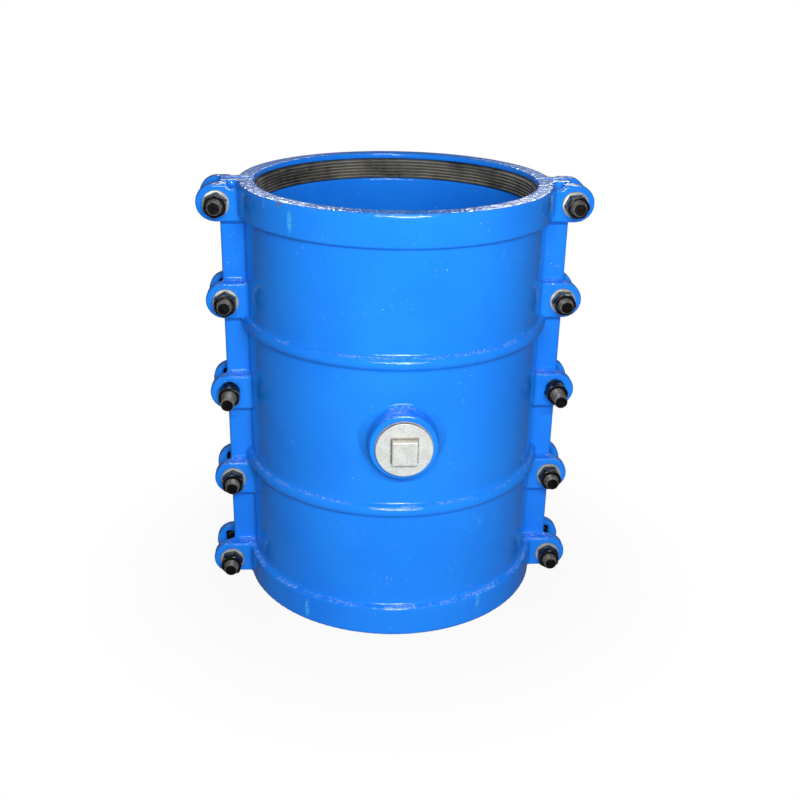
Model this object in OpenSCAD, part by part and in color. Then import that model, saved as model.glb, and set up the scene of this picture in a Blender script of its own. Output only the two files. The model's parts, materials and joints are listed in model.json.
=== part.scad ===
// Split pipe repair clamp: two cast half shells bolted round a pipe, with a ribbed rubber ring in each
// end, a strip seal down each parting line and a plugged outlet in the front half.
// Z runs along the pipe, X to the right and the outlet faces -Y. The origin is the centre of the clamp.

/* [Pipe and length] */
// Outside diameter of the pipe that the clamp closes on
pipe_d = 315; // [250:1:400]
// Length of the clamp along the pipe
clamp_len = 494; // [440:1:640]

/* [Half shells] */
// Gap between the pipe and the wall of the barrel
bore_gap = 4.5; // [3.5:0.5:8]
// Gap between the pipe and the lip that holds each rubber ring
lip_gap = 2.5; // [1.5:0.5:3]
// Thickness of the barrel wall
barrel_wall = 10; // [8:0.5:14]
// Step from the barrel out to the end collars
collar_step = 8; // [7:0.5:14]
// Length of each end collar
collar_len = 36; // [34:1:60]
// Radius of the outer edge at each end face
end_edge_r = 2.5; // [1:0.5:6]
// Radius of the collar edge next to the barrel
shoulder_edge_r = 2; // [1:0.5:3.5]
// Radius of the fillet between collar and barrel
shoulder_fillet_r = 4; // [1:0.5:5]
// Distance from one stiffening rib to the other
rib_spacing = 174; // [120:1:190]
// Radius of the half-round ribs
rib_r = 7.5; // [4:0.5:9]
// Radius of the fillets along each rib
rib_fillet_r = 3; // [1:0.5:5]
// Gap between the two half shells
parting_gap = 3; // [1:0.5:5]

/* [Flanges and lugs] */
// How far the long flanges stand out from the barrel
flange_reach = 27.5; // [24:0.5:34]
// Thickness of each long flange
flange_t = 13.5; // [10:0.5:18]
// Thickness of the bolt lugs on the flange
lug_t = 16; // [12:0.5:22]
// Radius of the rounded end of a lug
lug_r = 21; // [20:0.5:26]
// How far the centre of the rounded end stands outside the bolt
lug_over = 2; // [0:0.5:3]
// How far the middle of a lug lies below its bolt hole
lug_drop = 2.7; // [0:0.1:3]
// Radius of the dip between the top lugs and the collar
lug_dip_r = 7; // [3:0.5:8]
// Radius of the edges of flanges and lugs
cast_edge_r = 2.5; // [1:0.5:4]
// Radius of the fillets round the foot of the flanges and lugs
foot_fillet_r = 4; // [1:0.5:5]
// Radius of the web that runs from a rib out under the lug beside it
web_r = 12; // [4:1:16]
// Distance from the barrel to the bolts between the collars
mid_bolt_reach = 23.5; // [22:0.5:30]
// Distance from the collar to the bolts at the ends
end_bolt_reach = 21.5; // [20:0.5:30]
// Distance from each end face to the first bolt hole
end_bolt_inset = 20; // [19:0.5:40]
// Width of the square and round bolt holes
bolt_hole = 22; // [19:0.5:23]

/* [Bolts, nuts and washers] */
// Diameter of the bolts
bolt_d = 16; // [12:1:16]
// Length of the bolts under the head
bolt_len = 90; // [86:1:120]
// Length of the middle pair of bolts
long_bolt_len = 100; // [86:1:130]
// Diameter of the domed bolt heads
head_d = 31; // [28:0.5:32]
// Height of the domed bolt heads
head_h = 8.8; // [7:0.1:12]
// Length of the square neck under the head
neck_len = 12; // [8:0.5:14]
// Width across the flats of the nuts
nut_flats = 24; // [22:0.5:27]
// Height of the nuts
nut_h = 14.8; // [10:0.1:16]
// Outside diameter of the washers
washer_d = 30; // [27:0.5:36]
// Thickness of the washers
washer_t = 3; // [2:0.5:4]

/* [Rubber rings and strip seals] */
// Length of each ring along the pipe
ring_len = 22.5; // [18:0.5:26]
// Thickness of each ring from crest to back
ring_depth = 12.5; // [10:0.5:13]
// Thickness of the lip outside each ring
lip_t = 6.5; // [3:0.5:8]
// Gap left between each ring and its lip
ring_room = 1.8; // [0.3:0.1:3]
// Number of ridges inside each ring
ridge_count = 6; // [4:1:8]
// Depth of the ridges
ridge_h = 2; // [1:0.25:3]
// Width of the flat crest of a ridge
ridge_crest = 1.4; // [1:0.1:2]
// Angle of the joint in each ring, counted from +X
ring_cut_angle = -16; // [-60:1:-5]
// Width of the joint in each ring
ring_cut = 1; // [0.5:0.1:3]
// Width of the strip seals
strip_w = 8; // [6:0.5:10]
// Depth of the groove that holds a strip seal
strip_groove = 7; // [5:0.5:9]

/* [Outlet and plug] */
// Outside diameter of the plug thread
plug_thread_d = 59.6; // [40:0.1:70]
// Length of the plug thread
plug_thread_len = 22; // [18:0.5:26]
// How far the outlet boss stands out from the barrel
boss_h = 23; // [20:0.5:40]
// Thickness of the boss round the thread
boss_wall = 7.5; // [5:0.5:12]
// Draft of the boss over its height
boss_draft = 1.5; // [0.5:0.1:3]
// Width of the sloped foot round the boss
boss_foot = 2.5; // [1:0.5:4]
// Radius of the edge round the boss face
boss_edge_r = 2.5; // [1:0.5:4]
// How far the rim of the plug passes its thread
rim_over = 1.2; // [1:0.1:3]
// Thickness of the rim of the plug
rim_t = 4; // [3:0.5:8]
// Width across the flats of the square head at its face
square_w = 26.5; // [20:0.5:32]
// Height of the square head
square_h = 10; // [8:0.5:14]
// Draft on each side of the square head
square_draft = 0.7; // [0.2:0.1:1.5]
// Thickness of the sealing ring under the plug rim
seal_t = 1.5; // [1:0.1:3]

/* [Clearances] */
// Gap between a loose piece and its seat
seat_gap = 0.3; // [0.2:0.05:0.4]
// Radial play of a thread or running fit
running_gap = 0.05; // [0.02:0.01:0.08]

/* [Hidden] */
$fn = 96;

// Colours of the finishes
epoxy_blue = [0.10, 0.42, 0.95];
black_steel = [0.10, 0.10, 0.11];
bright_zinc = [0.80, 0.81, 0.77];
galvanised = [0.78, 0.78, 0.74];
black_rubber = [0.12, 0.12, 0.12];
white_fibre = [0.85, 0.84, 0.80];

// Radii of the shells
pipe_r = pipe_d / 2;
half_len = clamp_len / 2;
bore_r = pipe_r + bore_gap;
lip_r = pipe_r + lip_gap;
barrel_r = bore_r + barrel_wall;
collar_r = barrel_r + collar_step;
ring_r = pipe_r + ring_depth;
groove_r = ring_r + seat_gap;
past = 1;

// Heights of the ring grooves
ring_top = half_len - lip_t - ring_room;
ring_bottom = ring_top - ring_len;
groove_bottom = ring_bottom - seat_gap;

// Ridges of a ring
ridge_pitch = ring_len / ridge_count;
ridge_foot = 0.45 * ridge_pitch;
ring_root_r = pipe_r + ridge_h;

// Planes across the parting line, as distances from it
face_y = parting_gap / 2;
flange_y = face_y + flange_t;
lug_y = flange_y + lug_t;
flange_x = barrel_r + flange_reach;
lug_foot_x = sqrt(pow(barrel_r, 2) - pow(lug_y, 2));
lug_root_x = lug_foot_x - barrel_wall / 2;

// Bolt places: from the top pair down to the bottom pair
end_bolt_z = half_len - end_bolt_inset;
pair_z = [end_bolt_z, end_bolt_z / 2, 0, -end_bolt_z / 2, -end_bolt_z];
end_bolt_x = collar_r + end_bolt_reach;
mid_bolt_x = barrel_r + mid_bolt_reach;
pair_x = [end_bolt_x, mid_bolt_x, mid_bolt_x, mid_bolt_x, end_bolt_x];
pair_len = [bolt_len, bolt_len, long_bolt_len, bolt_len, bolt_len];
pair_washer_t = [washer_t, washer_t, 0, washer_t, washer_t];
lug_z = [for (z = pair_z) z - lug_drop];
// Where the straight part of the upper collar starts
collar_z = half_len - collar_len + shoulder_edge_r;
// Centre of the dip beside the top lugs
dip_x = sqrt(pow(collar_r, 2) - pow(lug_y, 2)) + 0.75 * lug_dip_r;
left_nut_turn = [22, 30, 26, 34, 12];
right_nut_turn = [4, -3, 8, 0, 31];
// Loose bolts hang at the bottom of their holes
bolt_r = bolt_d / 2;
bolt_drop = bolt_hole / 2 - bolt_r - seat_gap;
bolt_end_chamfer = 1.2;
nut_chamfer = 0.9;
nut_chamfer_in = 1.4;
nut_countersink = 1;

// Outlet
thread_r = plug_thread_d / 2;
boss_y = barrel_r + boss_h;
boss_r = thread_r + boss_wall;
rim_y = boss_y + seal_t;
plug_face_y = rim_y + rim_t;
plug_edge_r = 1;
thread_chamfer = 1.5;

// Strip seals
strip_x = (barrel_r + mid_bolt_x - bolt_hole / 2) / 2;
strip_half_len = groove_bottom - 2 * seat_gap;
strip_bead_r = strip_w / 4;

// Section of one end collar, drawn at the upper end of the barrel
module collar_section() {
    ledge_z = half_len - collar_len;
    difference() {
        union() {
            translate([lip_r, ledge_z]) square([collar_r - lip_r - end_edge_r, collar_len]);
            translate([lip_r, ledge_z + shoulder_edge_r])
                square([collar_r - lip_r, collar_len - shoulder_edge_r - end_edge_r]);
            translate([collar_r - end_edge_r, half_len - end_edge_r]) circle(end_edge_r);
            translate([collar_r - shoulder_edge_r, ledge_z + shoulder_edge_r]) circle(shoulder_edge_r);
            translate([barrel_r, ledge_z - shoulder_fillet_r])
                square([shoulder_fillet_r, shoulder_fillet_r + past]);
        }
        translate([barrel_r + shoulder_fillet_r, ledge_z - shoulder_fillet_r]) circle(shoulder_fillet_r);
        translate([collar_r - shoulder_edge_r, ledge_z - past]) square([shoulder_edge_r + past, past]);
    }
}

// Section of one half-round rib with its two fillets
module rib_section() {
    reach = rib_r + rib_fillet_r;
    foot = sqrt(pow(reach, 2) - pow(rib_fillet_r, 2));
    touch = rib_r * rib_fillet_r / reach;
    translate([barrel_r, rib_spacing / 2]) {
        circle(rib_r);
        for (side = [-1, 1]) mirror([0, side < 0 ? 1 : 0]) difference() {
            translate([-past, 0]) square([past + touch, foot]);
            translate([rib_fillet_r, foot]) circle(rib_fillet_r);
        }
    }
}

// Outside of the shells as a full turn
module shell_outside() {
    rotate_extrude() {
        translate([lip_r, -half_len]) square([barrel_r - lip_r, clamp_len]);
        for (end = [0, 1]) mirror([0, end]) {
            collar_section();
            rib_section();
        }
    }
}

// Room inside the shells: the barrel, the two lips and the two ring grooves
module shell_inside() {
    cylinder(h = clamp_len + 2 * past, r = lip_r, center = true);
    cylinder(h = 2 * groove_bottom, r = bore_r, center = true);
    for (end = [0, 1]) mirror([0, 0, end])
        translate([0, 0, groove_bottom])
            cylinder(h = half_len - lip_t - groove_bottom, r = groove_r);
}

// Flat bar along X from x1 to x2 and from y_back to y_front before the parting line, its front edges rounded
module rounded_bar(x1, x2, y_back, y_front, z1, z2, edge) {
    translate([x1, 0, 0]) rotate([90, 0, 90]) linear_extrude(x2 - x1) {
        translate([-y_front + edge, z1]) square([y_front - y_back - edge, z2 - z1]);
        translate([-y_front, z1 + edge]) square([edge + past, z2 - z1 - 2 * edge]);
        for (z = [z1 + edge, z2 - edge]) translate([-y_front + edge, z]) circle(edge);
    }
}

// Bolt lug on the right side
module lug(i) {
    end_x = pair_x[i] + lug_over;
    rounded_bar(lug_root_x, end_x, flange_y - past, lug_y, lug_z[i] - lug_r, lug_z[i] + lug_r, cast_edge_r);
    translate([end_x, 0, lug_z[i]]) rotate([90, 0, 0])
        rotate_extrude() {
            translate([0, flange_y]) square([lug_r, lug_t - cast_edge_r]);
            translate([0, flange_y]) square([lug_r - cast_edge_r, lug_t]);
            translate([lug_r - cast_edge_r, lug_y - cast_edge_r]) circle(cast_edge_r);
        }
}

// Filled corner at the origin between the sides along +X and +Y, up to a circle that touches both
module corner_fill(r) {
    difference() {
        translate([-past, -past]) square(r + past);
        translate([r, r]) circle(r);
    }
}

// Fillet along Z between the round wall of radius wall_r and the plane face_y in front of the parting line
module foot_fillet(wall_r, face, z1, z2) {
    centre_y = face + foot_fillet_r;
    centre_x = sqrt(pow(wall_r + foot_fillet_r, 2) - pow(centre_y, 2));
    inward = (wall_r - past) / (wall_r + foot_fillet_r);
    translate([0, 0, z1]) linear_extrude(z2 - z1) difference() {
        polygon([
            [centre_x, -centre_y], [centre_x, -face + past], [centre_x * inward, -face + past],
            [centre_x * inward, -centre_y * inward]
        ]);
        translate([centre_x, -centre_y]) circle(foot_fillet_r);
    }
}

// Fillets round the foot of a lug: along the barrel and the collar, along the flange, and the web to a rib
module lug_fillets(i) {
    z1 = lug_z[i] - lug_r + cast_edge_r;
    z2 = lug_z[i] + lug_r - cast_edge_r;
    foot_fillet(barrel_r, lug_y, z1, z2);
    if (z2 > collar_z) foot_fillet(collar_r, lug_y, collar_z, z2);
    if (z1 < -collar_z) foot_fillet(collar_r, lug_y, z1, -collar_z);
    for (up = [0, 1]) {
        rib_side = (i == 1 && up == 0) || (i == 3 && up == 1);
        translate([0, 0, lug_z[i]]) mirror([0, 0, up]) {
            translate([lug_root_x, -flange_y, -lug_r]) rotate([90, 0, 90])
                linear_extrude(flange_x - cast_edge_r - lug_root_x) mirror([1, 1]) corner_fill(foot_fillet_r);
            translate([lug_foot_x, -flange_y + past, -lug_r]) rotate([90, 0, 0])
                linear_extrude(lug_t - cast_edge_r + past) mirror([0, 1])
                    corner_fill(rib_side ? web_r : foot_fillet_r);
        }
    }
}

// Dip in the end of a top lug, beside the collar
module lug_dip() {
    translate([dip_x, 0, half_len]) rotate([90, 0, 0]) translate([0, 0, flange_y])
        cylinder(h = lug_t + foot_fillet_r + past, r = lug_dip_r);
}

// Long flange on the right side, open at each bolt
module flange() {
    reach = flange_x - lug_root_x;
    difference() {
        linear_extrude(clamp_len, center = true) {
            translate([lug_root_x, -flange_y]) square([reach - cast_edge_r, flange_y]);
            translate([lug_root_x, -flange_y + cast_edge_r]) square([reach, flange_y - cast_edge_r]);
            translate([flange_x - cast_edge_r, -flange_y + cast_edge_r]) circle(cast_edge_r);
        }
        for (i = [0:4])
            translate([pair_x[i], -flange_y - past, pair_z[i] - bolt_hole / 2])
                cube([flange_reach + lug_r, flange_y + 2 * past, bolt_hole]);
    }
}

// One half shell without its holes in the lugs
module half_shell_blank() {
    difference() {
        union() {
            shell_outside();
            for (side = [0, 1]) mirror([side, 0, 0]) {
                flange();
                foot_fillet(barrel_r, flange_y, -half_len + collar_len, half_len - collar_len);
                for (end = [0, 1]) mirror([0, 0, end]) foot_fillet(collar_r, flange_y, collar_z, half_len);
                intersection() {
                    difference() {
                        for (i = [0:4]) {
                            lug(i);
                            lug_fillets(i);
                        }
                        lug_dip();
                    }
                    cylinder(h = clamp_len, r = 2 * flange_x, center = true);
                }
            }
        }
        shell_inside();
        translate([-2 * flange_x, -face_y, -clamp_len]) cube([4 * flange_x, 4 * flange_x, 2 * clamp_len]);
    }
}

// Outside of the outlet boss, standing on the front of the barrel
module boss_outside() {
    foot_r = boss_r + boss_draft;
    sunk_r = foot_r + 3 * boss_foot;
    rotate([90, 0, 0]) rotate_extrude() {
        polygon([
            [0, bore_r - past], [sunk_r, bore_r - past], [sunk_r, barrel_r - 2 * boss_foot],
            [foot_r, barrel_r + boss_foot], [boss_r, boss_y - boss_edge_r], [0, boss_y - boss_edge_r]
        ]);
        square([boss_r - boss_edge_r, boss_y]);
        translate([boss_r - boss_edge_r, boss_y - boss_edge_r]) circle(boss_edge_r);
    }
}

// Front half shell with round bolt holes, strip grooves and the outlet
module front_shell() {
    color(epoxy_blue) difference() {
        union() {
            half_shell_blank();
            difference() {
                boss_outside();
                shell_inside();
                translate([0, 0, -clamp_len]) cylinder(h = 2 * clamp_len, r = bore_r);
            }
        }
        for (side = [-1, 1]) {
            for (i = [0:4])
                translate([side * pair_x[i], 0, pair_z[i]]) rotate([90, 0, 0])
                    cylinder(h = lug_y + past, d = bolt_hole);
            translate([side * strip_x - strip_w / 2, -face_y - strip_groove, -strip_half_len - seat_gap])
                cube([strip_w, strip_groove + past, 2 * (strip_half_len + seat_gap)]);
        }
        rotate([90, 0, 0]) {
            translate([0, 0, bore_r / 2]) cylinder(h = boss_y, r = thread_r + running_gap);
            translate([0, 0, boss_y - thread_chamfer / 2])
                cylinder(h = thread_chamfer, r1 = thread_r, r2 = thread_r + thread_chamfer);
        }
    }
}

// Back half shell with square bolt holes
module back_shell() {
    color(epoxy_blue) difference() {
        mirror([0, 1, 0]) half_shell_blank();
        for (side = [-1, 1], i = [0:4])
            translate([side * pair_x[i], 0, pair_z[i]])
                translate([-bolt_hole / 2, 0, -bolt_hole / 2]) cube([bolt_hole, lug_y + past, bolt_hole]);
    }
}

// Rubber ring with ridges inside, made as a strip and bent round, so that it has one joint
function ridge_points(z) = [
    [ring_root_r, z - ridge_foot], [pipe_r, z - ridge_crest / 2],
    [pipe_r, z + ridge_crest / 2], [ring_root_r, z + ridge_foot]
];
module ring_section() {
    polygon([
        [ring_r, 0], [ring_root_r, 0],
        for (k = [0:ridge_count - 1]) each ridge_points((k + 0.5) * ridge_pitch),
        [ring_root_r, ring_len], [ring_r, ring_len]
    ]);
}
module rubber_ring() {
    color(black_rubber) difference() {
        translate([0, 0, ring_bottom]) rotate_extrude() ring_section();
        rotate([0, 0, ring_cut_angle]) translate([0, -ring_cut / 2, ring_bottom - past])
            cube([ring_r + past, ring_cut, ring_len + 2 * past]);
    }
}
module upper_ring() { rubber_ring(); }
module lower_ring() { mirror([0, 0, 1]) rubber_ring(); }

// Strip seal in the parting face between the two rings, with a raised bead along its back
module strip_seal(side) {
    body_y = strip_groove + parting_gap - strip_bead_r - 2 * seat_gap;
    color(black_rubber) translate([side * strip_x, -face_y - strip_groove + seat_gap, 0])
        linear_extrude(2 * strip_half_len, center = true) {
            translate([-strip_w / 2 + seat_gap, 0]) square([strip_w - 2 * seat_gap, body_y]);
            translate([0, body_y]) circle(strip_bead_r);
        }
}
module left_strip_seal() { strip_seal(-1); }
module right_strip_seal() { strip_seal(1); }

// Plug with a rim and a drafted square head
module outlet_plug() {
    color(galvanised) {
        rotate([90, 0, 0]) rotate_extrude() {
            polygon([
                [0, rim_y - plug_thread_len], [thread_r - thread_chamfer, rim_y - plug_thread_len],
                [thread_r, rim_y - plug_thread_len + thread_chamfer], [thread_r, rim_y], [0, rim_y]
            ]);
            translate([0, rim_y]) square([thread_r + rim_over, rim_t - plug_edge_r]);
            translate([0, rim_y]) square([thread_r + rim_over - plug_edge_r, rim_t]);
            translate([thread_r + rim_over - plug_edge_r, plug_face_y - plug_edge_r]) circle(plug_edge_r);
        }
        intersection() {
            square_head_side();
            rotate([0, 90, 0]) square_head_side();
        }
    }
}
// Block whose outline tapers towards the front, seen from one side
module square_head_side() {
    linear_extrude(2 * square_w, center = true)
        polygon([
            [-square_w / 2 - square_draft, -plug_face_y + plug_edge_r],
            [square_w / 2 + square_draft, -plug_face_y + plug_edge_r],
            [square_w / 2, -plug_face_y - square_h], [-square_w / 2, -plug_face_y - square_h]
        ]);
}

// Flat sealing ring between the rim of the plug and the boss
module plug_seal() {
    color(white_fibre) rotate([90, 0, 0]) translate([0, 0, boss_y]) difference() {
        cylinder(h = seal_t, r = thread_r + rim_over + seat_gap);
        translate([0, 0, -past]) cylinder(h = seal_t + 2 * past, r = thread_r + seat_gap);
    }
}

// Bolt with a domed head behind the back lug and a square neck in its square hole
module bolt(side, i) {
    length = pair_len[i];
    dome_r = (pow(head_d / 2, 2) + pow(head_h, 2)) / (2 * head_h);
    color(black_steel) translate([side * pair_x[i], lug_y, pair_z[i] - bolt_drop]) {
        translate([-bolt_r, -neck_len, -bolt_r]) cube([bolt_d, neck_len, bolt_d]);
        rotate([90, 0, 0]) cylinder(h = length - bolt_end_chamfer, r = bolt_r);
        rotate([90, 0, 0]) translate([0, 0, length - bolt_end_chamfer])
            cylinder(h = bolt_end_chamfer, r1 = bolt_r, r2 = bolt_r - bolt_end_chamfer);
        intersection() {
            translate([0, head_h - dome_r, 0]) rotate([90, 0, 0]) rotate_extrude() intersection() {
                circle(dome_r);
                translate([0, -dome_r]) square([dome_r, 2 * dome_r]);
            }
            translate([-head_d / 2, 0, -head_d / 2]) cube([head_d, head_h, head_d]);
        }
    }
}

// Hexagon nut, bevelled on both faces, bearing on its washer or on the lug
module nut(side, i) {
    turn = side < 0 ? left_nut_turn[i] : right_nut_turn[i];
    corner_r = nut_flats / 2 / cos(30);
    color(black_steel)
        translate([side * pair_x[i], -lug_y - pair_washer_t[i], pair_z[i] - bolt_drop]) rotate([90, 0, 0])
            difference() {
                intersection() {
                    rotate([0, 0, turn]) cylinder(h = nut_h, r = corner_r, $fn = 6);
                    rotate_extrude() polygon([
                        [0, 0], [corner_r - nut_chamfer_in, 0], [corner_r, nut_chamfer],
                        [corner_r, nut_h - nut_chamfer], [corner_r - nut_chamfer_in, nut_h], [0, nut_h]
                    ]);
                }
                translate([0, 0, -past]) cylinder(h = nut_h + 2 * past, r = bolt_r + running_gap);
                for (end = [0, 1]) translate([0, 0, end * nut_h]) mirror([0, 0, end])
                    translate([0, 0, -past]) cylinder(h = nut_countersink + past,
                        r1 = bolt_r + nut_countersink + past, r2 = bolt_r);
            }
}

// Plain washer on the front lug
module washer(side, i) {
    color(bright_zinc) translate([side * pair_x[i], -lug_y, pair_z[i] - bolt_drop]) rotate([90, 0, 0])
        difference() {
            cylinder(h = washer_t, d = washer_d);
            translate([0, 0, -past]) cylinder(h = washer_t + 2 * past, r = bolt_r + seat_gap);
        }
}

front_shell();
back_shell();
upper_ring();
lower_ring();
left_strip_seal();
right_strip_seal();
outlet_plug();
plug_seal();
bolt(-1, 0);  // bolt_left_1
bolt(-1, 1);  // bolt_left_2
bolt(-1, 2);  // bolt_left_3
bolt(-1, 3);  // bolt_left_4
bolt(-1, 4);  // bolt_left_5
bolt(1, 0);  // bolt_right_1
bolt(1, 1);  // bolt_right_2
bolt(1, 2);  // bolt_right_3
bolt(1, 3);  // bolt_right_4
bolt(1, 4);  // bolt_right_5
nut(-1, 0);  // nut_left_1
nut(-1, 1);  // nut_left_2
nut(-1, 2);  // nut_left_3
nut(-1, 3);  // nut_left_4
nut(-1, 4);  // nut_left_5
nut(1, 0);  // nut_right_1
nut(1, 1);  // nut_right_2
nut(1, 2);  // nut_right_3
nut(1, 3);  // nut_right_4
nut(1, 4);  // nut_right_5
washer(-1, 0);  // washer_left_1
washer(-1, 1);  // washer_left_2
washer(-1, 3);  // washer_left_4
washer(-1, 4);  // washer_left_5
washer(1, 0);  // washer_right_1
washer(1, 1);  // washer_right_2
washer(1, 3);  // washer_right_4
washer(1, 4);  // washer_right_5
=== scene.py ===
import json
import math

import bmesh
import bpy
from mathutils import Matrix, Vector


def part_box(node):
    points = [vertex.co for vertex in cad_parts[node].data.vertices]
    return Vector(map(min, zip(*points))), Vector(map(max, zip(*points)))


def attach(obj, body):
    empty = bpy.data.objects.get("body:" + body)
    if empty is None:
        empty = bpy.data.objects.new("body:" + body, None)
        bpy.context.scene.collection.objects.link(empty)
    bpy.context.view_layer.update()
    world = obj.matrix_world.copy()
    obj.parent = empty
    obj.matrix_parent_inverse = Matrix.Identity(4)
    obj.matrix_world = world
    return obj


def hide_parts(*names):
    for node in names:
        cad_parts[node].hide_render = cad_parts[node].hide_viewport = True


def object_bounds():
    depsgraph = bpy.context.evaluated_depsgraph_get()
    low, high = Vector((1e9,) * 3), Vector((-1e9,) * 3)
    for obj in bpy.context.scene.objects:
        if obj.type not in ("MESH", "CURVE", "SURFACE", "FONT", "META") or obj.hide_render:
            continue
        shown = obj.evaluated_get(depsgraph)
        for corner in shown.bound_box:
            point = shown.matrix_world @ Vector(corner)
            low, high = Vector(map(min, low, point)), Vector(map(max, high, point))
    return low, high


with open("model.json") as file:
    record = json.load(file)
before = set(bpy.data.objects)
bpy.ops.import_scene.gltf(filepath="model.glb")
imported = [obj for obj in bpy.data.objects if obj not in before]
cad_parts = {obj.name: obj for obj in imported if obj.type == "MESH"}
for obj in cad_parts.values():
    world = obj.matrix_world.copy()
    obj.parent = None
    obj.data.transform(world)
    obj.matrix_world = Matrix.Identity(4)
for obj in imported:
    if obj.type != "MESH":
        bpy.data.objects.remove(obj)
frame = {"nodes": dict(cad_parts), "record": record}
cad_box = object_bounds()

# Camera, floor and light: the clamp stands on white paper and is looked down on from a little over a metre
# away. A soft lamp close to the camera lights the front, a long narrow one above it draws bright lines along
# the ribs and edges, two small ones behind glint on what faces up, and the white room fills the shadows.
CAMERA_PLACE = (-0.0843, -1.2213, 0.4886)
CAMERA_YAW, CAMERA_PITCH, CAMERA_ROLL = math.radians(4.397), math.radians(22.812), math.radians(1.184)
CAMERA_LENS, CAMERA_SENSOR = 48.39, 36
FLOOR_SIZE = 12
FLOOR_WHITE = 0.62
SHADOW_SHARE, SHADOW_NEAR, SHADOW_FAR = 0.08, 0.20, 0.42
GLOSS_SHARE = 0.09
ROOM_FILL = 0.06
LAMP_AIM = (0, 0, 0)
LAMPS = {
    "front_lamp": ((0.05, -1.10, 0.40), (0.20, 0.20), 3.9),
    "strip_lamp": ((0.03, -1.28, 0.74), (0.80, 0.05), 13.6),
    "left_back_lamp": ((-0.19, 0.75, 0.60), (0.24, 0.07), 1.15),
    "right_back_lamp": ((0.33, 0.75, 0.60), (0.27, 0.07), 1.45),
}

camera = bpy.data.objects.new("camera", bpy.data.cameras.new("camera"))
bpy.context.scene.collection.objects.link(camera)
camera.data.lens = CAMERA_LENS
camera.data.sensor_width = CAMERA_SENSOR
camera.matrix_world = (
    Matrix.Translation(CAMERA_PLACE)
    @ Matrix.Rotation(-CAMERA_YAW, 4, "Z")
    @ Matrix.Rotation(math.pi / 2 - CAMERA_PITCH, 4, "X")
    @ Matrix.Rotation(CAMERA_ROLL, 4, "Z")
)
bpy.context.scene.camera = camera
bpy.context.scene.view_settings.view_transform = "Standard"


class Value:
    """One output of a finish's nodes, so that shader maths reads as plain expressions."""

    def __init__(self, finish, socket):
        self.finish = finish
        self.socket = socket

    def math(self, operation, *operands):
        return self.finish.add("ShaderNodeMath", {"operation": operation}, dict(enumerate(operands)))

    def __add__(self, other):
        return self.math("ADD", self, other)

    def __radd__(self, other):
        return self.math("ADD", other, self)

    def __sub__(self, other):
        return self.math("SUBTRACT", self, other)

    def __rsub__(self, other):
        return self.math("SUBTRACT", other, self)

    def __mul__(self, other):
        return self.math("MULTIPLY", self, other)

    def __rmul__(self, other):
        return self.math("MULTIPLY", other, self)

    def __abs__(self):
        return self.math("ABSOLUTE", self)

    def __pow__(self, other):
        return self.math("POWER", self, other)

    def smaller(self, other):
        return self.math("MINIMUM", self, other)

    def larger(self, other):
        return self.math("MAXIMUM", self, other)

    def rise(self, low, high):
        """0 at low, 1 at high and smooth between them; it falls instead where low is the higher."""
        return self.finish.add(
            "ShaderNodeMapRange",
            {"interpolation_type": "SMOOTHSTEP"},
            {"Value": self, "From Min": low, "From Max": high},
        )


class Finish:
    """A material and the nodes that make it up."""

    def __init__(self, name):
        self.material = bpy.data.materials.new(name)
        self.material.use_nodes = True
        self.tree = self.material.node_tree
        self.tree.nodes.clear()
        self.output = self.tree.nodes.new("ShaderNodeOutputMaterial")

    def add(self, kind, settings=None, inputs=None, output=0):
        """Adds a node, sets it up, feeds its sockets with numbers or values, and gives one of its outputs."""
        node = self.tree.nodes.new(kind)
        for key, value in (settings or {}).items():
            setattr(node, key, value)
        for key, value in (inputs or {}).items():
            socket = node.inputs[key]
            if isinstance(value, Value):
                self.tree.links.new(value.socket, socket)
            elif socket.type == "RGBA":
                socket.default_value = (*value, 1)
            else:
                socket.default_value = value
        return Value(self, node.outputs[output])

    def mixed(self, share, one, other):
        """Colour one where share is 0 and the other where it is 1."""
        return self.add("ShaderNodeMix", {"data_type": "RGBA"}, {0: share, 6: one, 7: other}, output=2)

    def place(self, stretch=(1, 1, 1)):
        place = self.add("ShaderNodeTexCoord", output="Object")
        return self.add("ShaderNodeMapping", {}, {"Vector": place, "Scale": stretch})

    def along(self, axis):
        """The place along X, Y or Z."""
        place = self.add("ShaderNodeTexCoord", output="Object")
        return self.add("ShaderNodeSeparateXYZ", {}, {0: place}, output=axis)

    def away(self, line):
        """Distance from the line through the origin that runs along X, Y or Z."""
        one, other = [self.along(axis) for axis in "XYZ" if axis != line]
        return (one * one + other * other) ** 0.5

    def apart(self, point, stretch=(1, 1, 1)):
        """Distance from a point, with the sides of that distance multiplied by stretch."""
        place = self.add("ShaderNodeTexCoord", output="Object")
        across = self.add("ShaderNodeVectorMath", {"operation": "SUBTRACT"}, {0: place, 1: point})
        across = self.add("ShaderNodeVectorMath", {"operation": "MULTIPLY"}, {0: across, 1: stretch})
        return self.add("ShaderNodeVectorMath", {"operation": "LENGTH"}, {0: across}, output="Value")

    def facing(self, axis):
        """How far the surface faces along X, Y or Z, from -1 to 1."""
        normal = self.add("ShaderNodeTexCoord", output="Normal")
        return self.add("ShaderNodeSeparateXYZ", {}, {0: normal}, output=axis)

    def noise(self, scale, detail=2.0, roughness=0.5, stretch=(1, 1, 1)):
        inputs = {"Vector": self.place(stretch), "Scale": scale, "Detail": detail, "Roughness": roughness}
        return self.add("ShaderNodeTexNoise", {}, inputs)

    def bump(self, height):
        return self.add("ShaderNodeBump", {}, {"Height": height, "Strength": 1.0, "Distance": 1.0})

    def coated(self, **inputs):
        """The material, with these inputs on its surface shader."""
        sockets = {}
        for name, value in inputs.items():
            sockets[name.replace("_", " ").title().replace("Ior", "IOR")] = value
        return self.closed(self.add("ShaderNodeBsdfPrincipled", {}, sockets))

    def closed(self, shader):
        self.tree.links.new(shader.socket, self.output.inputs["Surface"])
        return self.material


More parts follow.
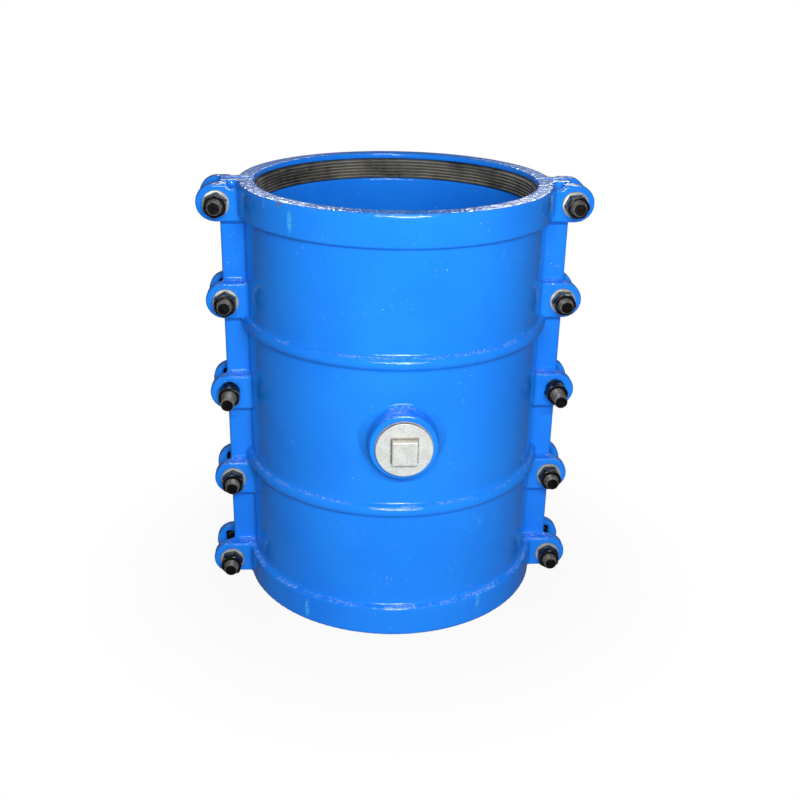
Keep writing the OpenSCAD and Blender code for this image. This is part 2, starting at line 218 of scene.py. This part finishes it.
def paper():
    """White paper that looks white to the camera and in reflections, with a faint shadow near the clamp."""
    finish = Finish("white_paper")
    glossy = finish.add("ShaderNodeLightPath", output="Is Glossy Ray")
    seen = finish.add("ShaderNodeLightPath", output="Is Camera Ray").larger(glossy)
    seen = seen.larger(finish.add("ShaderNodeLightPath", output="Is Transmission Ray"))
    lit = finish.add("ShaderNodeBsdfDiffuse", {}, {"Color": (FLOOR_WHITE,) * 3})
    shade = finish.mixed(glossy, (1,) * 3, (GLOSS_SHARE,) * 3)
    white = finish.add("ShaderNodeEmission", {}, {"Color": shade})
    shadow = finish.away("Z").rise(SHADOW_FAR, SHADOW_NEAR) * SHADOW_SHARE
    return finish.closed(finish.add("ShaderNodeMixShader", {}, {0: seen * (1 - shadow), 1: lit, 2: white}))


def lay_floor():
    mesh = bmesh.new()
    bmesh.ops.create_grid(mesh, x_segments=1, y_segments=1, size=FLOOR_SIZE / 2)
    bmesh.ops.translate(mesh, verts=mesh.verts, vec=(0, 0, cad_box[0][2]))
    floor = bpy.data.objects.new("floor", bpy.data.meshes.new("floor"))
    mesh.to_mesh(floor.data)
    mesh.free()
    bpy.context.scene.collection.objects.link(floor)
    floor.data.materials.append(paper())


def hang_lamp(name, place, size, power):
    lamp = bpy.data.objects.new(name, bpy.data.lights.new(name, "AREA"))
    bpy.context.scene.collection.objects.link(lamp)
    lamp.data.shape = "RECTANGLE"
    lamp.data.size, lamp.data.size_y = size
    lamp.data.energy = power
    lamp.visible_camera = False
    lamp.location = place
    lamp.rotation_euler = (Vector(LAMP_AIM) - Vector(place)).to_track_quat("-Z", "Y").to_euler()


def whiten_room():
    world = bpy.data.worlds.new("white_room")
    bpy.context.scene.world = world
    world.use_nodes = True
    nodes = world.node_tree.nodes
    link = world.node_tree.links.new
    nodes.clear()
    path = nodes.new("ShaderNodeLightPath")
    strength = nodes.new("ShaderNodeValue")
    strength.outputs[0].default_value = ROOM_FILL
    for kind, share in (("Camera", 1), ("Transmission", 1), ("Glossy", GLOSS_SHARE)):
        seen = nodes.new("ShaderNodeMath")
        seen.operation = "MULTIPLY"
        link(path.outputs[f"Is {kind} Ray"], seen.inputs[0])
        seen.inputs[1].default_value = share
        most = nodes.new("ShaderNodeMath")
        most.operation = "MAXIMUM"
        link(strength.outputs[0], most.inputs[0])
        link(seen.outputs[0], most.inputs[1])
        strength = most
    background = nodes.new("ShaderNodeBackground")
    link(strength.outputs[0], background.inputs["Strength"])
    background.inputs["Color"].default_value = (1, 1, 1, 1)
    output = nodes.new("ShaderNodeOutputWorld")
    link(background.outputs[0], output.inputs["Surface"])


lay_floor()
for name, (place, size, power) in LAMPS.items():
    hang_lamp(name, place, size, power)
whiten_room()


# Half shells: two ductile iron castings, shot-blasted and then coated all over with glossy blue epoxy powder.
# The coating rounds every edge and corner, follows the sand grain beneath it and glints on what faces up,
# where it lay uneven; white grains on the upward faces of the front half are painted glints. Handling has
# left a few pale scuffs and one chip at the upper rim, and fine white specks all over are painted glints.
SKIN_VOXEL = 0.0018
SKIN_PASSES = 3
SKIN_TRIANGLES = 190_000
EPOXY_BLUE, EPOXY_DEEP = (0.016, 0.258, 0.98), (0.010, 0.215, 0.92)
SCUFF_PALE, GLINT_WHITE, CHIP_BROWN = (0.08, 0.50, 0.97), (0.62, 0.80, 1.0), (0.24, 0.15, 0.09)
SCUFF_WIDTH, SCUFF_STRETCH = 0.0042, (1, 1, 0.28)
SCUFFS = (-0.118, -0.136, 0.229), (-0.106, -0.1455, -0.230), (0.094, -0.152, -0.222)
CHIP_PLACE, CHIP_RADIUS = (-0.128, -0.126, 0.2445), 0.003
PEEL_HEIGHT, SAND_HEIGHT, SWAY_HEIGHT, TOP_HEIGHT = 0.00010, 0.00022, 0.0008, 0.0009
# How strong the painted glint grains are, and how far towards the back they reach.
GLINT_GRAIN_SHARE, GLINT_GRAIN_END = 0.45, 0.05
COAT_GLOSS, COAT_DULL, COAT_IOR = 0.12, 0.15, 1.42


def epoxy():
    finish = Finish("blue_epoxy")
    cloudy = finish.noise(9, 3).rise(0.35, 0.7)
    colour = finish.mixed(cloudy * 0.6, EPOXY_BLUE, EPOXY_DEEP)
    rubbed = finish.noise(45, 4, 0.65, (1, 1, 0.5)).rise(0.66, 0.80)
    ragged = finish.noise(300, 3, 0.6)
    for place in SCUFFS:
        near = finish.apart(place, SCUFF_STRETCH).rise(SCUFF_WIDTH, SCUFF_WIDTH / 3)
        rubbed = rubbed.larger(near * ragged.rise(0.38, 0.5) * 2)
    colour = finish.mixed(rubbed.smaller(2) * 0.42, colour, SCUFF_PALE)
    # Fine white specks scattered all over are painted glints.
    specks = finish.noise(620, 2, 0.5).rise(0.70, 0.76) * finish.noise(24, 3).rise(0.50, 0.66)
    top = finish.facing("Z").rise(0.6, 0.95)
    # White grains on the upward faces of the front half, fading out towards the back, are painted glints.
    glint_patches = finish.noise(38, 2).rise(0.40, 0.56) * finish.along("Y").rise(GLINT_GRAIN_END, 0)
    glint_grains = top * finish.noise(480, 1, 0.5, (1, 1.5, 1)).rise(0.52, 0.60) * glint_patches * GLINT_GRAIN_SHARE
    colour = finish.mixed(specks.larger(glint_grains), colour, GLINT_WHITE)
    chip = finish.apart(CHIP_PLACE).rise(CHIP_RADIUS, CHIP_RADIUS / 2) * ragged.rise(0.4, 0.5)
    colour = finish.mixed(chip, colour, CHIP_BROWN)
    peel = finish.noise(230, 2, 0.5) * PEEL_HEIGHT
    sand = finish.noise(95, 3, 0.6) * SAND_HEIGHT
    sway = finish.noise(26, 1, 0.4) * SWAY_HEIGHT
    uneven = top * finish.noise(240, 1, 0.5, (1, 0.6, 1)) * TOP_HEIGHT
    bump = finish.bump(peel + sand + sway + uneven)
    dry = top * finish.noise(560, 2, 0.5, (1, 1.6, 1)).rise(0.60, 0.46)
    return finish.coated(base_color=colour, roughness=COAT_GLOSS + dry * COAT_DULL, normal=bump, ior=COAT_IOR)


def shown(mesh, name):
    """A new piece made of that mesh, in the scene."""
    piece = bpy.data.objects.new(name, mesh)
    bpy.context.scene.collection.objects.link(piece)
    return piece


def finished(piece, name):
    """The piece with its modifiers applied, under that name and shaded smooth."""
    mesh = bpy.data.meshes.new_from_object(piece.evaluated_get(bpy.context.evaluated_depsgraph_get()))
    bpy.data.objects.remove(piece)
    mesh.name = name
    mesh.polygons.foreach_set("use_smooth", [True] * len(mesh.polygons))
    return shown(mesh, name)


def merged_copy(node, name):
    """A copy of a CAD node whose loose triangles are joined up."""
    data = frame["nodes"][node].data.copy()
    data.name = name
    data.materials.clear()
    mesh = bmesh.new()
    mesh.from_mesh(data)
    bmesh.ops.remove_doubles(mesh, verts=mesh.verts, dist=1e-6)
    mesh.to_mesh(data)
    mesh.free()
    return shown(data, name)


def weighted(piece):
    """Shades flat faces flat and keeps the blend of shades inside the rounded edges."""
    normals = piece.modifiers.new("normals", "WEIGHTED_NORMAL")
    normals.mode = "FACE_AREA"
    normals.keep_sharp = False


def cast_skin(node, name, voxel, passes, triangles):
    """The node as it leaves the mould and the coating: every edge and corner a little rounded."""
    blank = merged_copy(node, name + "_blank")
    remesh = blank.modifiers.new("remesh", "REMESH")
    remesh.mode = "VOXEL"
    remesh.voxel_size = voxel
    smooth = blank.modifiers.new("smooth", "SMOOTH")
    smooth.iterations = passes
    blank = finished(blank, name + "_full")
    count = sum(len(face.vertices) - 2 for face in blank.data.polygons)
    if count > triangles:
        thin = blank.modifiers.new("thin", "DECIMATE")
        thin.ratio = triangles / count
        blank = finished(blank, name + "_thin")
    weighted(blank)
    return finished(blank, name)


def fitted(piece, node, material):
    """Puts the finish on a piece, which then stands for that node and moves with its body."""
    bodies = frame["record"]["behaviour"]["bodies"]
    piece.data.materials.append(material)
    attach(piece, next(body for body, nodes in bodies.items() if node in nodes))
    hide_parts(node)


blue = epoxy()
for node in ("front_shell", "back_shell"):
    skin = cast_skin(node, node + "_casting", SKIN_VOXEL, SKIN_PASSES, SKIN_TRIANGLES)
    fitted(skin, node, blue)


# Rubber rings and strip seals: moulded black rubber. Six ridges round the inside of each ring press on the
# pipe; their crests have rubbed grey, and a pale bloom lies on the flat ends and in the corners.
RUBBER_BLACK, RUBBER_GREY, RUBBER_BLOOM = (0.003, 0.003, 0.003), (0.095, 0.10, 0.10), (0.42, 0.39, 0.30)
CREST_RADIUS, CREST_FADE = 0.1575, 0.0005


def rubber():
    finish = Finish("black_rubber")
    crest = finish.away("Z").rise(CREST_RADIUS + CREST_FADE, CREST_RADIUS)
    worn = crest * finish.noise(30, 3, 0.6).rise(0.25, 0.6)
    colour = finish.mixed(worn * 0.85, RUBBER_BLACK, RUBBER_GREY)
    bloom = abs(finish.facing("Z")).rise(0.6, 0.95) * finish.noise(22, 4, 0.6).rise(0.25, 0.7)
    colour = finish.mixed(bloom, colour, RUBBER_BLOOM)
    bump = finish.bump(finish.noise(420, 3, 0.6) * 0.00022)
    return finish.coated(base_color=colour, roughness=0.5, normal=bump, ior=1.15)


def dress(names, material):
    for name in names:
        node = frame["nodes"][name]
        node.data.materials.clear()
        node.data.materials.append(material)


dress(["upper_ring", "lower_ring", "left_strip_seal", "right_strip_seal"], rubber())


# Bolts: steel carriage bolts, forged with a domed head and a square neck that the square hole of the back
# lug holds. The thread is rolled on and cut off square, and the whole is blackened.
BOLT_RADIUS, THREAD_ROOT, THREAD_PITCH, THREAD_LENGTH = 0.0079, 0.00677, 0.002, 0.050
THREAD_STEPS = 28
HEAD_RADIUS, HEAD_HEIGHT = 0.0155, 0.0088
NECK_WIDTH, NECK_LENGTH, NECK_EDGE, NECK_SUNK = 0.0158, 0.009, 0.0012, 0.0005
SHANK_SUNK, THREAD_RUNOUT, END_CHAMFER = 0.001, 0.0011, 0.0002
STEEL_BLACK, STEEL_BROWN, STEEL_SHEEN_GREY = (0.003, 0.003, 0.0035), (0.009, 0.0085, 0.0085), (0.17, 0.16, 0.145)


def black_steel():
    finish = Finish("black_steel")
    blotch = finish.noise(150, 4, 0.6).rise(0.40, 0.72)
    colour = finish.mixed(blotch, STEEL_BLACK, STEEL_BROWN)
    # Faces that slope along the bolt's axis, such as bevels, thread flanks and the head's dome, are painted a
    # lighter grey-brown, a painted sheen broken up by noise.
    slope = abs(finish.facing("Y"))
    edge = slope.rise(0.35, 0.55) * slope.rise(0.97, 0.90)
    rubbed = 0.35 + 0.65 * finish.noise(240, 3, 0.6).rise(0.35, 0.6)
    colour = finish.mixed(edge * rubbed, colour, STEEL_SHEEN_GREY)
    bump = finish.bump(finish.noise(700, 3, 0.6) * 0.00014)
    return finish.coated(base_color=colour, roughness=0.28 + blotch * 0.15, normal=bump, ior=1.33)


def spun(mesh, outline):
    """Turns an outline of radii and heights once round Z."""
    verts = [mesh.verts.new((radius, 0, height)) for radius, height in outline]
    edges = [mesh.edges.new(pair) for pair in zip(verts, verts[1:])]
    bmesh.ops.spin(mesh, geom=verts + edges, cent=(0, 0, 0), axis=(0, 0, 1), angle=math.tau, steps=48,
                   use_merge=True)


def thread(root, crest, pitch, steps, low, high):
    """A rod with a right-hand thread from low to high along Z, cut off square at both ends."""
    mesh = bmesh.new()
    tooth = ((root, 0), (root, 0.25), (crest, 0.5625), (crest, 0.6875), (root, 1))
    turns = math.ceil((high - low) / pitch) + 2
    verts = [mesh.verts.new((radius, 0, low + pitch * (share - 2))) for radius, share in tooth]
    edges = [mesh.edges.new(pair) for pair in zip(verts, verts[1:])]
    bmesh.ops.spin(mesh, geom=verts + edges, cent=(0, 0, 0), axis=(0, 0, 1), dvec=(0, 0, pitch / steps),
                   angle=math.tau * (turns + 1), steps=steps * (turns + 1))
    bmesh.ops.remove_doubles(mesh, verts=mesh.verts, dist=1e-6)
    for height, below in ((low, True), (high, False)):
        bmesh.ops.bisect_plane(mesh, geom=mesh.verts[:] + mesh.edges[:] + mesh.faces[:], dist=1e-7,
                               plane_co=(0, 0, height), plane_no=(0, 0, 1), clear_inner=below,
                               clear_outer=not below)
    bmesh.ops.holes_fill(mesh, edges=[edge for edge in mesh.edges if edge.is_boundary])
    bmesh.ops.recalc_face_normals(mesh, faces=mesh.faces)
    return mesh


def pointed(mesh, end_radius, high):
    """Chamfers the end of a rod at 45 degrees."""
    for vert in mesh.verts:
        reach = math.hypot(vert.co.x, vert.co.y)
        most = end_radius + max(high - vert.co.z, 0)
        if reach > most:
            vert.co.x *= most / reach
            vert.co.y *= most / reach


def joined(meshes):
    """One bmesh with the shapes of all of them."""
    whole = bmesh.new()
    for mesh in meshes:
        part = bpy.data.meshes.new("part")
        mesh.to_mesh(part)
        mesh.free()
        whole.from_mesh(part)
        bpy.data.meshes.remove(part)
    return whole


def carriage_bolt(length):
    """The bolt along Z, from its head at the bottom to the free end at the top; its bearing face is at 0."""
    rod = thread(THREAD_ROOT, BOLT_RADIUS, THREAD_PITCH, THREAD_STEPS, length - THREAD_LENGTH, length)
    pointed(rod, THREAD_ROOT - END_CHAMFER, length)
    shank = bmesh.new()
    start = length - THREAD_LENGTH
    spun(shank, ((0, -SHANK_SUNK), (BOLT_RADIUS, -SHANK_SUNK), (BOLT_RADIUS, start),
                 (THREAD_ROOT, start + THREAD_RUNOUT), (0, start + THREAD_RUNOUT)))
    head = bmesh.new()
    dome = (HEAD_RADIUS ** 2 + HEAD_HEIGHT ** 2) / (2 * HEAD_HEIGHT)
    top = head.verts.new((0, 0, -HEAD_HEIGHT))
    arc = bmesh.ops.spin(head, geom=[top], cent=(0, 0, dome - HEAD_HEIGHT), axis=(0, 1, 0),
                         angle=-math.asin(HEAD_RADIUS / dome), steps=12)
    last = next(item for item in arc["geom_last"] if isinstance(item, bmesh.types.BMVert))
    middle = head.verts.new((0, 0, 0))
    head.edges.new((last, middle))
    bmesh.ops.spin(head, geom=head.verts[:] + head.edges[:], cent=(0, 0, 0), axis=(0, 0, 1), angle=math.tau,
                   steps=48, use_merge=True)
    neck = bmesh.new()
    block = Matrix.Translation((0, 0, NECK_LENGTH / 2 - NECK_SUNK))
    block @= Matrix.Diagonal((NECK_WIDTH, NECK_WIDTH, NECK_LENGTH, 1))
    bmesh.ops.create_cube(neck, size=1, matrix=block)
    bmesh.ops.bevel(neck, geom=neck.edges[:], offset=NECK_EDGE, affect="EDGES", segments=3, profile=0.5,
                    material=-1)
    for mesh in (shank, head):
        bmesh.ops.remove_doubles(mesh, verts=mesh.verts, dist=1e-6)
        bmesh.ops.recalc_face_normals(mesh, faces=mesh.faces)
    return joined((rod, shank, head, neck))


def smooth_below(piece, angle):
    """Shades the piece smooth, apart from the edges that turn more than that angle."""
    mesh = bmesh.new()
    mesh.from_mesh(piece.data)
    for face in mesh.faces:
        face.smooth = True
    for edge in mesh.edges:
        edge.smooth = edge.is_manifold and edge.calc_face_angle() < math.radians(angle)
    mesh.to_mesh(piece.data)
    mesh.free()


dark = black_steel()
for node in sorted(name for name in frame["nodes"] if name.startswith("bolt_")):
    low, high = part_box(node)
    mesh = carriage_bolt(high.y - HEAD_HEIGHT - low.y)
    place = Matrix.Translation(((low.x + high.x) / 2, high.y - HEAD_HEIGHT, (low.z + high.z) / 2))
    bmesh.ops.transform(mesh, verts=mesh.verts, matrix=place @ Matrix.Rotation(math.pi / 2, 4, "X"))
    data = bpy.data.meshes.new(node + "_threaded")
    mesh.to_mesh(data)
    mesh.free()
    bolt = shown(data, node + "_threaded")
    smooth_below(bolt, 32)
    fitted(bolt, node, dark)


# Nuts: hexagon steel nuts, cold-formed, bevelled on both faces and blackened like the bolts. The bevel
# is painted as a lighter grey-brown ring, a painted sheen.
NUT_EDGE = 0.00035


def eased(node, name, width, segments, angle=25):
    """A copy of a CAD node with its sharp edges eased."""
    blank = merged_copy(node, name + "_blank")
    mesh = bmesh.new()
    mesh.from_mesh(blank.data)
    bmesh.ops.dissolve_limit(mesh, angle_limit=math.radians(1), verts=mesh.verts, edges=mesh.edges)
    sharp = [edge for edge in mesh.edges if edge.is_manifold and edge.calc_face_angle() > math.radians(angle)]
    bmesh.ops.bevel(mesh, geom=sharp, offset=width, affect="EDGES", segments=segments, profile=0.5,
                    material=-1, clamp_overlap=True)
    mesh.to_mesh(blank.data)
    mesh.free()
    weighted(blank)
    return finished(blank, name)


for node in sorted(name for name in frame["nodes"] if name.startswith("nut_")):
    fitted(eased(node, node + "_eased", NUT_EDGE, 2), node, dark)


# Washers: round plain washers, stamped from zinc-plated sheet. The punch rounds one edge, and the plating
# has dulled to a pale greenish white with darker rubs.
WASHER_EDGE = 0.0005
ZINC_PALE, ZINC_GREY, ZINC_RUB = (0.50, 0.535, 0.47), (0.40, 0.43, 0.40), (0.20, 0.19, 0.17)


def zinc():
    finish = Finish("zinc_washer")
    cloudy = finish.noise(110, 3).rise(0.35, 0.65)
    colour = finish.mixed(cloudy, ZINC_PALE, ZINC_GREY)
    rubbed = finish.noise(260, 4, 0.7).rise(0.60, 0.74)
    colour = finish.mixed(rubbed * 0.6, colour, ZINC_RUB)
    bump = finish.bump(finish.noise(520, 3, 0.6) * 0.00012)
    return finish.coated(base_color=colour, roughness=0.42 + rubbed * 0.2, metallic=0.25, normal=bump)


plating = zinc()
for node in sorted(name for name in frame["nodes"] if name.startswith("washer_")):
    fitted(eased(node, node + "_eased", WASHER_EDGE, 3), node, plating)


# Outlet plug: a malleable iron casting with a square head, hot-dip galvanised, its pipe thread cut after
# casting. The dip has left dark specks; the fibre ring below seals it. The side faces of the head and rim
# are painted a darker beige as painted shade, and a brown line at the foot of the head and round the rim's
# side is painted shade too.
PLUG_VOXEL, PLUG_PASSES, PLUG_TRIANGLES = 0.0006, 3, 90_000
PLUG_RADIUS, PLUG_TOOTH, PLUG_PITCH, PLUG_STEPS, PLUG_SUNK = 0.0297, 0.00148, 0.0023091, 72, 0.0002
GALVANISED_PALE, GALVANISED_GREY = (0.80, 0.84, 0.82), (0.69, 0.71, 0.68)
SPECK_DARK, STAIN_SHADE_BEIGE, SHADE_BROWN = (0.17, 0.16, 0.15), (0.60, 0.50, 0.38), (0.11, 0.08, 0.06)
HEAD_FOOT, HEAD_FOOT_FADE, RIM_SIDE = 0.0143, 0.0006, 0.0303


def galvanised():
    finish = Finish("galvanised_iron")
    cloudy = finish.noise(90, 4, 0.6).rise(0.35, 0.65)
    colour = finish.mixed(cloudy, GALVANISED_PALE, GALVANISED_GREY)
    middle = abs(finish.along("X")).larger(abs(finish.along("Z")))
    head = middle.rise(HEAD_FOOT, HEAD_FOOT - HEAD_FOOT_FADE)
    # Beige on the head's front is a stain; the darker beige laid on every side face of the head and rim is
    # painted shade.
    stain_and_shade = (head * finish.noise(65, 3, 0.6).rise(0.56, 0.76)).larger(abs(finish.facing("Y")).rise(0.9, 0.6))
    colour = finish.mixed(stain_and_shade * 0.7, colour, STAIN_SHADE_BEIGE)
    specks = finish.noise(800, 3, 0.62).rise(0.56, 0.68)
    colour = finish.mixed(specks * 0.5, colour, SPECK_DARK)
    # A brown line in the crease at the foot of the head and round the rim's side is painted shade.
    foot = abs(middle - HEAD_FOOT).rise(HEAD_FOOT_FADE * 1.6, HEAD_FOOT_FADE * 0.6)
    painted_shade = foot.larger(finish.away("Y").rise(RIM_SIDE, RIM_SIDE + HEAD_FOOT_FADE))
    colour = finish.mixed(painted_shade * finish.noise(200, 3, 0.6).rise(0.25, 0.5) * 0.75, colour, SHADE_BROWN)
    bump = finish.bump(finish.noise(380, 3, 0.62) * 0.00035 + finish.noise(120, 1) * 0.0004)
    return finish.coated(base_color=colour, roughness=0.38 + specks * 0.2, metallic=0.2, normal=bump)


def fibre():
    finish = Finish("seal_fibre")
    colour = finish.mixed(finish.noise(420, 3, 0.6), (0.42, 0.40, 0.34), (0.60, 0.58, 0.52))
    return finish.coated(base_color=colour, roughness=0.8, normal=finish.bump(finish.noise(600, 2) * 0.0001))


def threaded_plug():
    """The cast head and rim of the plug, with a pipe thread below in place of the plain shank."""
    head = cast_skin("outlet_plug", "outlet_plug_head", PLUG_VOXEL, PLUG_PASSES, PLUG_TRIANGLES)
    low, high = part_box("plug_seal")
    middle_z = (low.z + high.z) / 2
    rim_y = low.y + PLUG_SUNK
    cut = bmesh.new()
    cut.from_mesh(head.data)
    bpy.data.objects.remove(head)
    bmesh.ops.bisect_plane(cut, geom=cut.verts[:] + cut.edges[:] + cut.faces[:], dist=1e-7,
                           plane_co=(0, rim_y, 0), plane_no=(0, 1, 0), clear_outer=True)
    bmesh.ops.holes_fill(cut, edges=[edge for edge in cut.edges if edge.is_boundary])
    shank_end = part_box("outlet_plug")[1].y
    shank = thread(PLUG_RADIUS - PLUG_TOOTH, PLUG_RADIUS, PLUG_PITCH, PLUG_STEPS, 0, shank_end - low.y)
    pointed(shank, PLUG_RADIUS - PLUG_TOOTH, shank_end - low.y)
    place = Matrix.Translation((0, low.y, middle_z)) @ Matrix.Rotation(-math.pi / 2, 4, "X")
    bmesh.ops.transform(shank, verts=shank.verts, matrix=place)
    whole = joined((cut, shank))
    data = bpy.data.meshes.new("outlet_plug_casting")
    whole.to_mesh(data)
    whole.free()
    plug = shown(data, "outlet_plug_casting")
    smooth_below(plug, 35)
    return plug


fitted(threaded_plug(), "outlet_plug", galvanised())
dress(["plug_seal"], fibre())
